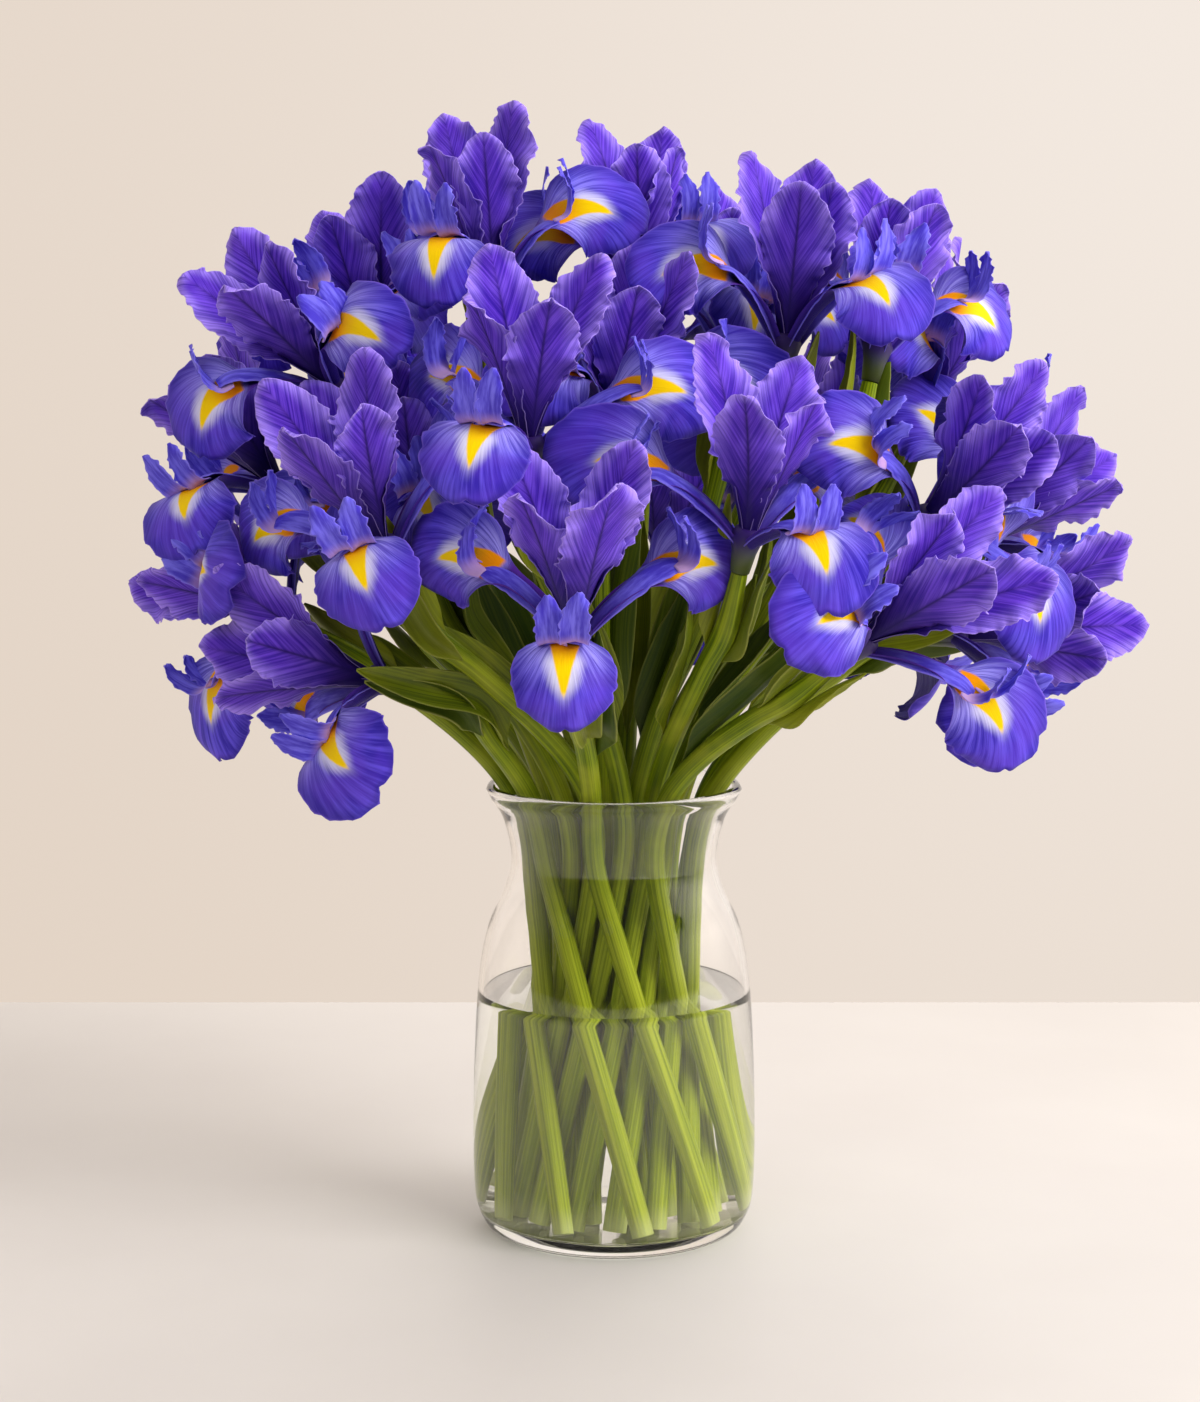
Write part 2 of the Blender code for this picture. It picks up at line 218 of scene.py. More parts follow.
# %% Make one petal's sheet
def petal_sheet(kind, rng, rows=46, columns=25, turned_by=0.0, size=1.0):
    """Points (rows, columns, 3) in millimetres, with x outwards, and the place of each point
    on the petal: across and along, in millimetres."""
    size = size * rng.normal(1, 0.03)
    spine, along = eased([(x * size, z * size) for x, z in kind["spine"]], rows)
    share = along / along[-1]
    run = np.gradient(spine, axis=0)
    run /= np.linalg.norm(run, axis=1)[:, None]
    v = np.sin(np.linspace(-1, 1, columns) * np.pi / 2)
    half = profile(kind["outline"], share)[:, None] * rng.normal(1, 0.04) * size**0.5
    edge = np.abs(v)
    sides = [
        [waves(rng, along, pitch)[:, None] for pitch in (kind["ruffle"][1], kind["frill"][1])]
        for _ in (0, 1)
    ]
    ruffle, frill = (np.where(v < 0, left, right) for left, right in zip(*sides))
    nick = np.where(v < 0, *(waves(rng, along, kind["nick"][1])[:, None] for _ in (0, 1)))
    fade = np.clip((share - kind["smooth_to"]) / 0.25, 0, 1)[:, None]
    # the edge is livelier in some places than in others
    fade = fade * np.clip(0.75 + 0.4 * waves(rng, along, 34)[:, None], 0.25, 1.3)
    across = v * half * (1 + kind["nick"][0] / 10 * nick * edge**5 * fade)
    rise = profile(kind["curl"], share)[:, None] * edge ** kind["curl_power"]
    rise = rise + kind["ruffle"][0] * fade * ruffle * edge**2.2
    rise = rise + kind["frill"][0] * fade * frill * edge**7
    rise = rise - kind["groove"] * np.exp(-((across / 1.3) ** 2)) * np.sin(np.pi * share)[:, None]
    tip = np.clip((share - 0.9) / 0.1, 0, 1)[:, None] ** 2
    pull = kind["notch"] * tip * (np.exp(-((v / 0.22) ** 2)) - 0.35 * edge**2)
    twist = rng.normal(0, kind["twist"]) * share[:, None] ** 1.5
    start, end = kind["turns_between"]
    settled = np.clip((share[:, None] - start) / (end - start), 0, 1)
    twist = twist + turned_by * settled**2 * (3 - 2 * settled)
    sway = rng.normal(0, kind["sway"]) * share[:, None] ** 2
    lean = rng.normal(0, kind["lean"]) * share[:, None] ** 2
    sideways = across * np.cos(twist) - rise * np.sin(twist) + sway
    rise = rise * np.cos(twist) + across * np.sin(twist) + lean
    x = spine[:, :1] - run[:, 1:] * rise - run[:, :1] * pull
    z = spine[:, 1:] + run[:, :1] * rise - run[:, 1:] * pull
    place = np.stack((across, np.broadcast_to(along[:, None], across.shape)), axis=2)
    return np.stack((x, sideways, z), axis=2), place


# %% Thicken a sheet into a closed skin
def skin(sheet, place, thickness):
    """Vertices, faces, places and sides of the closed skin: side 1 is the sheet's upper face."""
    rows, columns = sheet.shape[:2]
    normal = np.cross(np.gradient(sheet, axis=0), np.gradient(sheet, axis=1))
    normal /= np.linalg.norm(normal, axis=2)[:, :, None] + 1e-9
    thin = np.abs(np.linspace(-1, 1, columns)) ** 6
    offset = normal * (thickness / 2 * (1 - 0.7 * thin))[None, :, None]
    points = np.concatenate(((sheet + offset).reshape(-1, 3), (sheet - offset).reshape(-1, 3)))
    index = np.arange(rows * columns).reshape(rows, columns)
    a, b, c, d = index[:-1, :-1], index[1:, :-1], index[1:, 1:], index[:-1, 1:]
    upper = np.stack((a, b, c, d), axis=2).reshape(-1, 4)
    lower = upper[:, ::-1] + rows * columns
    loop = np.concatenate((index[0, :-1], index[:-1, -1], index[-1, :0:-1], index[:0:-1, 0]))
    ahead = np.roll(loop, -1)
    rim = np.stack((loop, ahead, ahead + rows * columns, loop + rows * columns), axis=1)
    side = np.repeat((1.0, 0.0), rows * columns)
    return points, np.concatenate((upper, lower, rim)), np.tile(place.reshape(-1, 2), (2, 1)), side


# %% [markdown]
# ## The four kinds of petal
#
# The numbers below are the maker's measurements of a Dutch iris, in millimetres. `spine` runs
# outwards and up from the flower's base, and `outline` is the half width at each share of the
# length. The fall has a narrow claw, then a round blade that bends over and hangs. The crest is
# one of the two lobes that stand up at the end of a style arm. Young flowers hold their falls
# closer, so they have their own spines.

# %% Describe the petals
FALL = {
    "outline": [(0, 3.2), (0.22, 4.6), (0.42, 6.4), (0.5, 9.5), (0.56, 16.0), (0.64, 20.0),
                (0.75, 21.3), (0.86, 19.2), (0.94, 14.2), (0.98, 9.0), (1, 6.0)],
    "curl": [(0, 2.4), (0.25, 3.0), (0.45, 0.6), (0.56, -1.4), (0.75, -5.0), (1, -4.0)],
    "curl_power": 2.0, "ruffle": (1.3, 17), "frill": (0.8, 7.5), "nick": (0.35, 8),
    "smooth_to": 0.5, "groove": 0.25, "notch": 1.4, "twist": 0.10, "sway": 1.6, "lean": 1.2,
    "turns_between": (0.36, 0.66),
}
STANDARD = {
    "outline": [(0, 3.0), (0.15, 4.4), (0.35, 7.8), (0.52, 12.0), (0.66, 13.9), (0.78, 13.0),
                (0.88, 10.2), (0.95, 6.4), (0.985, 3.2), (1, 1.0)],
    "curl": [(0, 2.6), (0.3, 3.4), (0.6, 2.6), (0.85, -0.4), (1, -2.0)],
    "curl_power": 1.5, "ruffle": (3.0, 23), "frill": (1.2, 6.4), "nick": (0.7, 5.6),
    "smooth_to": 0.2, "groove": -0.7, "notch": 0.0, "twist": 0.16, "sway": 2.4, "lean": 2.4,
    "turns_between": (0.0, 0.6),
}
STYLE_ARM = {
    "outline": [(0, 3.0), (0.3, 4.8), (0.6, 6.4), (0.85, 7.4), (1, 6.6)],
    "curl": [(0, -2.4), (0.5, -3.0), (0.85, -2.4), (1, -1.2)],
    "curl_power": 1.8, "ruffle": (0.3, 14), "frill": (0.2, 6), "nick": (0.2, 7),
    "smooth_to": 0.3, "groove": -0.8, "notch": 0.0, "twist": 0.04, "sway": 0.2, "lean": 0.2,
    "turns_between": (0.5, 1.0),
}
CREST = {
    "outline": [(0, 3.6), (0.12, 4.7), (0.35, 5.2), (0.6, 5.2), (0.8, 4.1), (0.93, 2.3), (1, 0.7)],
    "curl": [(0, -1.2), (0.4, -1.2), (0.8, 0.6), (1, 1.4)],
    "curl_power": 1.8, "ruffle": (0.6, 11), "frill": (0.6, 4.2), "nick": (1.7, 4.2),
    "smooth_to": 0.2, "groove": -0.3, "notch": 0.0, "twist": 0.12, "sway": 0.6, "lean": 0.8,
    "turns_between": (0.0, 0.5),
}
SPINES = {
    "open": {
        "fall": [(1.6, 8), (10, 15.5), (19, 22.2), (29, 28.2), (38, 32), (46.5, 32), (54.5, 26.5),
                 (59.5, 16.5), (61.5, 5)],
        "back": [(1.8, 11), (7, 29), (13.5, 48), (21.5, 67), (31, 86)],
        "front": [(1.8, 11), (5, 25), (9, 41), (13.5, 58), (18.5, 75)],
        "style_arm": [(1.6, 12.5), (10, 19.8), (19, 26), (28, 31), (37, 33.8), (43, 33.4)],
        "crest": [(40, 33.4), (45.5, 35), (47.6, 40.5), (47.4, 47.5), (45.4, 54.5)],
    },
    "upright": {
        "fall": [(1.6, 8), (7, 17), (13, 26), (21, 34), (29, 39.5), (37, 40.5), (43.5, 35.5),
                 (47.6, 25.5), (49, 13)],
        "back": [(1.8, 11), (6, 29), (11, 48), (17, 67), (24, 87)],
        "front": [(1.8, 11), (4.5, 26), (7.5, 43), (10.5, 60), (14, 77)],
        "style_arm": [(1.6, 12), (7, 20.8), (13, 29.6), (20, 37), (27.5, 41.6), (33.5, 42)],
        "crest": [(30.5, 41.6), (36, 43.4), (38.4, 49), (38.6, 56), (37, 63)],
    },
}
SPREAD = [(0, 0), (0, 0), (0, 0), (0, 0), (0, 0), (1, 1.5), (3.5, 5), (8, 9.5), (14, 13.5)]
print("petal kinds:", ", ".join(SPINES["open"]))

# %% [markdown]
# ## Painting with nodes
#
# Petals are painted by shader nodes, from a UV map that holds millimetres, so a vein has its
# real width on every petal. Node maths is easier to read as arithmetic, so a small class wraps
# a socket and turns `+` or `*` into Math nodes.


# %% A socket that can do arithmetic
class Socket:
    def __init__(self, paint, socket):
        self.paint, self.socket = paint, socket

    def maths(self, operation, *values):
        return self.paint.node("ShaderNodeMath", {"operation": operation}, *values)

    def __add__(self, other):
        return self.maths("ADD", self, other)

    def __sub__(self, other):
        return self.maths("SUBTRACT", self, other)

    def __rsub__(self, other):
        return self.maths("SUBTRACT", other, self)

    def __mul__(self, other):
        return self.maths("MULTIPLY", self, other)

    def __truediv__(self, other):
        return self.maths("DIVIDE", self, other)

    def __rtruediv__(self, other):
        return self.maths("DIVIDE", other, self)

    def __pow__(self, other):
        return self.maths("POWER", self, other)

    def __abs__(self):
        return self.maths("ABSOLUTE", self)

    __radd__, __rmul__ = __add__, __mul__

    def least(self, other):
        return self.maths("MINIMUM", self, other)

    def most(self, other):
        return self.maths("MAXIMUM", self, other)

    def ramp(self, low, high, start=0.0, end=1.0):
        """A soft step from start at low to end at high."""
        settings = {"interpolation_type": "SMOOTHSTEP"}
        return self.paint.node("ShaderNodeMapRange", settings, self, low, high, start, end)


# %% A node tree with one method for any node
class Tree:
    def __init__(self, tree):
        self.tree = tree

    def fill(self, socket, value):
        if isinstance(value, Socket):
            self.tree.links.new(value.socket, socket)
        else:
            socket.default_value = value

    def node(self, kind, settings=None, *values, output=0, **named):
        """Adds a node: its settings first, then its sockets by position or by name."""
        made = self.tree.nodes.new(kind)
        for setting, value in (settings or {}).items():
            if setting == "stops":
                while len(made.color_ramp.elements) < len(value):
                    made.color_ramp.elements.new(1.0)
                for stop, (position, colour) in zip(made.color_ramp.elements, value):
                    stop.position, stop.color = position, colour
            else:
                setattr(made, setting, value)
        for socket, value in zip(made.inputs, values):
            self.fill(socket, value)
        for name, value in named.items():
            self.fill(made.inputs[name.replace("_", " ")], value)
        return Socket(self, made.outputs[output])

    def mix(self, share, below, above):
        made = self.tree.nodes.new("ShaderNodeMix")
        made.data_type = "RGBA"
        for position, value in ((0, share), (6, below), (7, above)):
            self.fill(made.inputs[position], value)
        return Socket(self, made.outputs[2])

    def split(self, vector):
        made = self.tree.nodes.new("ShaderNodeSeparateXYZ")
        self.fill(made.inputs[0], vector)
        return [Socket(self, output) for output in made.outputs]

    def vector(self, x=0.0, y=0.0, z=0.0):
        return self.node("ShaderNodeCombineXYZ", None, x, y, z)

    def noise(self, vector, scale, detail=2.0, roughness=0.5):
        return self.node("ShaderNodeTexNoise", None, Vector=vector, Scale=scale,
                         Detail=detail, Roughness=roughness)

    def attribute(self, name, output=2):
        return self.node("ShaderNodeAttribute", {"attribute_name": name}, output=output)

    def bump(self, height, distance, strength=1.0):
        return self.node("ShaderNodeBump", None, Strength=strength, Distance=distance,
                         Height=height)


# %% A material whose shader takes values by name
class Paint(Tree):
    def __init__(self, name, **shader_values):
        self.material = bpy.data.materials.new(name)
        self.material.use_nodes = True
        super().__init__(self.material.node_tree)
        self.shader = self.tree.nodes["Principled BSDF"]
        for socket, value in shader_values.items():
            self.shader.inputs[socket.replace("_", " ")].default_value = value

    def finish(self, **links):
        for socket, value in links.items():
            self.fill(self.shader.inputs[socket.replace("_", " ")], value)
        return self.material


def tint(code):
    """A web colour such as 5b37b8 as the linear colour that shaders use."""
    values = [int(code[i : i + 2], 16) / 255 for i in (0, 2, 4)]
    return (*(v / 12.92 if v < 0.04045 else ((v + 0.055) / 1.055) ** 2.4 for v in values), 1.0)


# %% [markdown]
# ### Falls
#
# A fall is the landing stage for a bee, and it is painted to say so. A golden signal runs down
# the middle of the blade and ends in a point. White surrounds it and breaks up into fine rays
# that fan out over the violet. The rays all start where the claw ends, so they're drawn in
# polar numbers round that place: noise that changes quickly with bearing and slowly with
# distance makes rays.


# %% Paint the falls
def petal_places(paint):
    """Millimetres across and along the petal, which side it is, and the petal's own tone."""
    x, y, _ = paint.split(paint.node("ShaderNodeUVMap", {"uv_map": "petal"}))
    return (x - 0.5) * 100, y * 100, paint.attribute("upper"), paint.attribute("tone")


def fan_rays(paint, across, along, start, rays, tone):
    """Streaks from 0 to 1 that fan out from the middle line at the start distance."""
    reach = (along - start).most(0.5)
    bearing = paint.node("ShaderNodeMath", {"operation": "ARCTAN2"}, across, reach)
    distance = (across * across + reach * reach) ** 0.5
    spot = paint.vector(bearing * rays, distance * 0.035, tone * 9)
    return paint.noise(spot, 1.0, 3.0, 0.6), distance


def paint_falls():
    paint = Paint("fall_petal", Roughness=0.55, Specular_IOR_Level=0.18)
    across, along, upper, tone = petal_places(paint)
    width = abs(across)
    rays, distance = fan_rays(paint, across, along, 38.0, 15.0, tone)
    fine, _ = fan_rays(paint, across, along, 36.0, 44.0, tone)
    streak = (rays * 0.55 + fine * 0.45).ramp(0.38, 0.64)
    blade = paint.mix(streak, tint("3424ac"), tint("6654e6"))
    warm = paint.noise(paint.vector(across * 0.05, along * 0.05, tone * 7), 1.0, 2.0)
    blade = paint.mix(warm.ramp(0.35, 0.65) * 0.5, blade, tint("6a42d4"))
    glow = distance.ramp(10, 33, 1, 0) * streak.ramp(0.0, 1.0, 0.3, 1)
    blade = paint.mix(glow * 0.85, blade, tint("b0aaf8"))
    edge = paint.attribute("edge")
    blade = paint.mix(edge.ramp(0.6, 0.93) * 0.55, blade, tint("2c1f90"))
    blade = paint.mix(edge.ramp(0.95, 1.0) * 0.6, blade, tint("7c62dc"))
    # half the width of the golden signal, which narrows to a point down the blade
    left = ((71.0 - along) / 24).most(0.0).least(1.0)
    signal_width = left**0.9 * 5.6
    ragged = (fine - 0.5) * 2.2
    lit = along.ramp(48, 58) * along.ramp(63, 76, 1, 0)
    halo = (signal_width + lit * 2.6 + ragged * 2.0 - width).ramp(-3.2, 2.4)
    halo = halo * along.ramp(48, 57) * along.ramp(63, 76, 1, 0)
    blade = paint.mix(halo * upper * 0.85, blade, tint("e6e4fa"))
    gold = paint.mix(along.ramp(44, 60), tint("ff9a00"), tint("ffd400"))
    signal = (signal_width + ragged * 0.35 - width).ramp(-0.4, 0.5)
    signal = signal * along.ramp(40, 42) * along.ramp(67, 71, 1, 0)
    blade = paint.mix(signal * upper, blade, gold)
    claw = paint.mix(width.ramp(1.5, 6.0), tint("2a1560"), tint("5a2f9c"))
    colour = paint.mix(along.ramp(37, 42), claw, blade)
    # painted shade: the underside of the fall is painted half way to a darker violet, for the side
    # that faces away from the light
    colour = paint.mix((1 - upper) * 0.5, colour, tint("33248c"))
    veins = paint.bump(rays * 0.7 + fine * 0.6, 0.6 * MM, 0.4)
    return paint.finish(Base_Color=colour, Normal=veins)


# %% [markdown]
# ### Standards, style arms and the tube
#
# The standards are more purple than the falls, with a dark midrib that its side veins leave at
# a slant. Their edges are so thin that light comes through, which makes them paler. The style
# arms are the bluest part, and blush pink where they press down on the fall.


# %% Paint the standards
def paint_standards():
    paint = Paint("standard_petal", Roughness=0.55, Specular_IOR_Level=0.18)
    across, along, upper, tone = petal_places(paint)
    width = abs(across)
    slant = along - width * 1.9
    veins = paint.noise(paint.vector(slant * 0.5, width * 0.05, tone * 9), 1.0, 4.0, 0.65)
    cloud = paint.noise(paint.vector(across * 0.07, along * 0.05, tone * 5), 1.0, 2.0)
    edge = paint.attribute("edge")
    colour = paint.mix(veins.ramp(0.35, 0.66), tint("4020a8"), tint("6e42d8"))
    cloudy = cloud.ramp(0.4, 0.75) * veins.ramp(0.3, 0.7, 0.1, 0.7)
    colour = paint.mix(cloudy, colour, tint("855eee"))
    margin = edge.ramp(0.35, 0.98) * along.ramp(20, 60) * veins.ramp(0.3, 0.68, 0.3, 1)
    colour = paint.mix(margin, colour, tint("ac90fc"))
    # darker towards the base: partly the standard's own deeper colour, partly painted shade deep in
    # the bloom where the petals crowd together
    colour = paint.mix(along.ramp(8, 52, 1, 0), colour, tint("1c0b54"))
    rib = (1 / (1 + (across / 0.6) ** 2)) * along.ramp(50, 76, 0.85, 0.2)
    colour = paint.mix(rib, colour, tint("22105c"))
    colour = paint.mix(edge.ramp(0.94, 1.0) * 0.4, colour, tint("bea4f8"))
    relief = paint.bump(veins * 0.8 + rib * 1.0, 0.7 * MM, 0.4)
    return paint.finish(Base_Color=colour, Normal=relief)


# %% Paint the style arms
def paint_style_arms():
    paint = Paint("style_arm_petal", Roughness=0.5, Specular_IOR_Level=0.22)
    across, along, upper, tone = petal_places(paint)
    crest = paint.attribute("crest")
    spot = paint.vector(across * 0.5, along * 0.07, tone * 9)
    veins = paint.noise(spot, 1.0, 3.0, 0.6)
    colour = paint.mix(veins.ramp(0.35, 0.7), tint("483ac6"), tint("7a72f2"))
    colour = paint.mix(crest * along.ramp(2.5, 11, 0.9, 0), colour, tint("d0a8d6"))
    colour = paint.mix((1 - crest) * along.ramp(4, 40, 1, 0) * 0.9, colour, tint("2c1668"))
    colour = paint.mix(paint.attribute("edge").ramp(0.86, 1.0) * 0.6, colour, tint("8d7ff0"))
    return paint.finish(Base_Color=colour, Normal=paint.bump(veins, 0.5 * MM, 0.3))


def paint_tube():
    paint = Paint("flower_tube", Roughness=0.5)
    _, along, _, tone = petal_places(paint)
    colour = paint.mix(along.ramp(2, 15), tint("4d5a20"), tint("2a1658"))
    return paint.finish(Base_Color=colour)


PETAL_PAINTS = [paint_falls(), paint_standards(), paint_style_arms(), paint_tube()]
print("petal materials:", ", ".join(material.name for material in PETAL_PAINTS))


# %% [markdown]
# ## Flowers
#
# Each flower gathers its petals into one mesh, because that is how it grew: nobody could take
# one apart without tearing it. The petals are shaped in the flower's own millimetres and then
# carried to the flower's place. The crests lean apart, one to each side of their style arm.


# %% Gather skins into one mesh
class Pile:
    """Skins gathered into one mesh, with what the shaders need to know at each vertex."""

    def __init__(self):
        self.parts = []

    def add(self, skin_parts, edge, material, tone, crest=0.0):
        self.parts.append((*skin_parts, edge, material, tone, crest))

    def build(self, name, materials, place_points):
        start, all_faces, owner = 0, [], []
        for points, faces, *_, material, _, _ in self.parts:
            all_faces.append(faces + start)
            owner.append(np.full(len(faces), material))
            start += len(points)
        points = np.concatenate([part[0] for part in self.parts])
        mesh = bpy.data.meshes.new(name)
        mesh.from_pydata(place_points(points), [], np.concatenate(all_faces).tolist())
        for material in materials:
            mesh.materials.append(material)
        mesh.polygons.foreach_set("material_index", np.concatenate(owner))
        mesh.polygons.foreach_set("use_smooth", np.ones(len(mesh.polygons), bool))
        places = np.concatenate([part[2] for part in self.parts])
        corner = np.empty(len(mesh.loops), int)
        mesh.loops.foreach_get("vertex_index", corner)
        uv = mesh.uv_layers.new(name="petal")
        uv.uv.foreach_set("vector", (places[corner] / 100 + (0.5, 0)).astype(np.float32).ravel())
        spread = {
            "upper": [part[3] for part in self.parts],
            "edge": [part[4] for part in self.parts],
            "tone": [np.full(len(part[0]), part[6]) for part in self.parts],
            "crest": [np.full(len(part[0]), part[7]) for part in self.parts],
        }
        for label, values in spread.items():
            layer = mesh.attributes.new(label, "FLOAT", "POINT")
            layer.data.foreach_set("value", np.concatenate(values).astype(np.float32))
        mesh.update()
        return placed(name, mesh)


def edge_share(sheet):
    """0 in the middle of a petal and 1 at its edge, for both sides of its skin."""
    rows, columns = sheet.shape[:2]
    v = np.abs(np.sin(np.linspace(-1, 1, columns) * np.pi / 2))
    tip = np.linspace(0, 1, rows)[:, None] ** 14
    return np.tile(np.maximum(np.broadcast_to(v, (rows, columns)), tip).ravel(), 2)


# %% [markdown]
# ### Turning to the light
#
# A bloom does not hold its petals as stiffly as a diagram. Each blade turns on its claw until
# its face is to the light, so the two side falls of a bloom show their signals as clearly as
# the front one. The turn is worked out from where the light is, seen from the petal.


# %% Turn petals to the light
def light_seen_from(base):
    """The way a bloom faces: to the front of the room, or outwards at the back of the bunch."""
    outwards = unit(np.array((base[0], base[1], 0.0)) + 1e-6)
    behind = np.clip((base[1] - 0.02) / 0.08, 0, 1)
    front = np.array((0.0, -1.0, 0.15))
    return unit((1 - behind) * (front + 0.35 * outwards) + behind * outwards)


def in_petal_axes(light, axes, degrees):
    angle = math.radians(degrees)
    along, aside, up = axes @ light
    return np.array((
        along * math.cos(angle) + aside * math.sin(angle),
        aside * math.cos(angle) - along * math.sin(angle),
        up,
    ))


def turned_about_axis(points, degrees):
    angle = math.radians(degrees)
    x, y = points[..., 0].copy(), points[..., 1].copy()
    points[..., 0] = x * math.cos(angle) - y * math.sin(angle)
    points[..., 1] = x * math.sin(angle) + y * math.cos(angle)
    return points


# %% Add one petal of each kind
def add_petal(pile, kind, spine, degrees, rng, material, thickness, crest=0.0, splay=0.0, **shape):
    sheet, place = petal_sheet({**kind, "spine": spine}, rng, **shape)
    if splay:
        sheet[..., 1] += splay * (1 + 0.5 * np.linspace(0, 1, sheet.shape[0])[:, None] ** 2)
    parts = skin(turned_about_axis(sheet, degrees), place, thickness)
    pile.add(parts, edge_share(sheet), material, rng.uniform(), crest)


def add_fall(pile, form, degrees, light, rng):
    """A fall hangs if it faces the light, and spreads sideways if it has to turn to it."""
    turn = math.atan2(-light[1], 0.6 * light[0] + 0.8 * light[2])
    turn = max(-1.25, min(1.25, turn))
    spread = min(1.0, abs(turn) / 1.1)
    spine = np.array(SPINES[form]["fall"]) + spread * np.array(SPREAD)
    add_petal(pile, FALL, spine, degrees, rng, 0, 0.5, turned_by=turn)


def add_standard(pile, spine, degrees, light, rng):
    facing = math.copysign(1, -light[0])
    turn = math.atan2(-light[1] * facing, abs(light[0]))
    add_petal(pile, STANDARD, spine, degrees, rng, 1, 0.45,
              rows=78, columns=21, turned_by=0.55 * turn)


def add_style_arm(pile, form, degrees, rng):
    add_petal(pile, STYLE_ARM, SPINES[form]["style_arm"], degrees, rng, 2, 0.6, rows=22, columns=15)
    for side in (-1, 1):
        add_petal(pile, CREST, SPINES[form]["crest"], degrees, rng, 2, 0.4,
                  crest=1.0, splay=4.1 * side, rows=26, columns=13)


def add_tube(pile):
    rings = np.array([(3.5, 0.2), (4.5, 8), (6.3, 15), (5.0, 17.5), (1.5, 18.5)])
    angle = np.linspace(2 * np.pi, 0, 19)
    level = np.broadcast_to(rings[:, 1:], (5, 19))
    sheet = np.stack((rings[:, :1] * np.cos(angle), rings[:, :1] * np.sin(angle), level), axis=2)
    place = np.stack((np.zeros((5, 19)), level), axis=2)
    pile.add(skin(sheet, place, 0.6), edge_share(sheet), 3, 0.5)


# %% [markdown]
# ### One bloom
#
# The numbers of the bloom below are the maker's: three falls, each roofed by its style arm,
# and between them the standards. The standard at the back of these blooms is doubled, which
# florists' irises often show, so a bloom has two tall standards behind and two short ones in
# front.

# %% Make every flower
STANDARDS = (("front", -56), ("front", 56), ("back", 134), ("back", 226))


def make_flower(name, number):
    base, axes, form = FRAMES[name]
    rng = np.random.default_rng(400 + number)
    light = light_seen_from(base)
    front = max((0, 120, 240), key=lambda degrees: in_petal_axes(light, axes, degrees)[0])
    pile = Pile()
    add_tube(pile)
    for turn in (0, 120, 240):
        add_fall(pile, form, front + turn, in_petal_axes(light, axes, front + turn), rng)
        add_style_arm(pile, form, front + turn, rng)
    for place, turn in STANDARDS:
        degrees = front + turn + rng.normal(0, 6)
        facing = in_petal_axes(light, axes, degrees)
        add_standard(pile, SPINES[form][place], degrees, facing, rng)
    flower = pile.build("iris_" + name, PETAL_PAINTS, lambda points: base + points @ axes * MM)
    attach(flower, "root")
    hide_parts(name)
    return flower


flowers = [make_flower(name, number) for number, name in enumerate(FLOWERS)]
print("faces in one flower:", len(flowers[0].data.polygons))

# %% [markdown]
# ## Stems
#
# A cut iris stem is a firm green rod with shallow flutes. It follows a path, so Geometry Nodes
# sweep a fluted ring along the line that was read from the CAD. The tree also stores where
# each point is round and along the stem, and the streaks are painted from that.


# %% Build the tree that sweeps a stem
def socket_key(tree, name):
    sockets = tree.interface.items_tree
    return next(s.identifier for s in sockets if s.name == name and s.in_out == "INPUT")


def new_tree(name, **inputs):
    tree = bpy.data.node_groups.new(name, "GeometryNodeTree")
    tree.interface.new_socket("Path", in_out="INPUT", socket_type="NodeSocketGeometry")
    for label, (kind, value) in inputs.items():
        socket = tree.interface.new_socket(
            label.replace("_", " "), in_out="INPUT", socket_type="NodeSocket" + kind
        )
        if value is not None:
            socket.default_value = value
    tree.interface.new_socket("Mesh", in_out="OUTPUT", socket_type="NodeSocketGeometry")
    return tree


def add_node(tree, kind, settings=None, **links):
    made = tree.nodes.new(kind)
    for setting, value in (settings or {}).items():
        setattr(made, setting, value)
    for name, value in links.items():
        socket = made.inputs[name.replace("_", " ")]
        if isinstance(value, bpy.types.NodeSocket):
            tree.links.new(value, socket)
        else:
            socket.default_value = value
    return made


def tree_maths(tree, operation, *values):
    """A Math node: each value is a socket or a number."""
    made = add_node(tree, "ShaderNodeMath", {"operation": operation})
    for socket, value in zip(made.inputs, values):
        if isinstance(value, bpy.types.NodeSocket):
            tree.links.new(value, socket)
        else:
            socket.default_value = value
    return made.outputs[0]


def store(tree, geometry, name, data_type, value):
    settings = {"data_type": data_type, "domain": "POINT"}
    kept = add_node(tree, "GeometryNodeStoreNamedAttribute", settings, Geometry=geometry, Name=name)
    tree.links.new(value, kept.inputs["Value"])
    return kept.outputs[0]


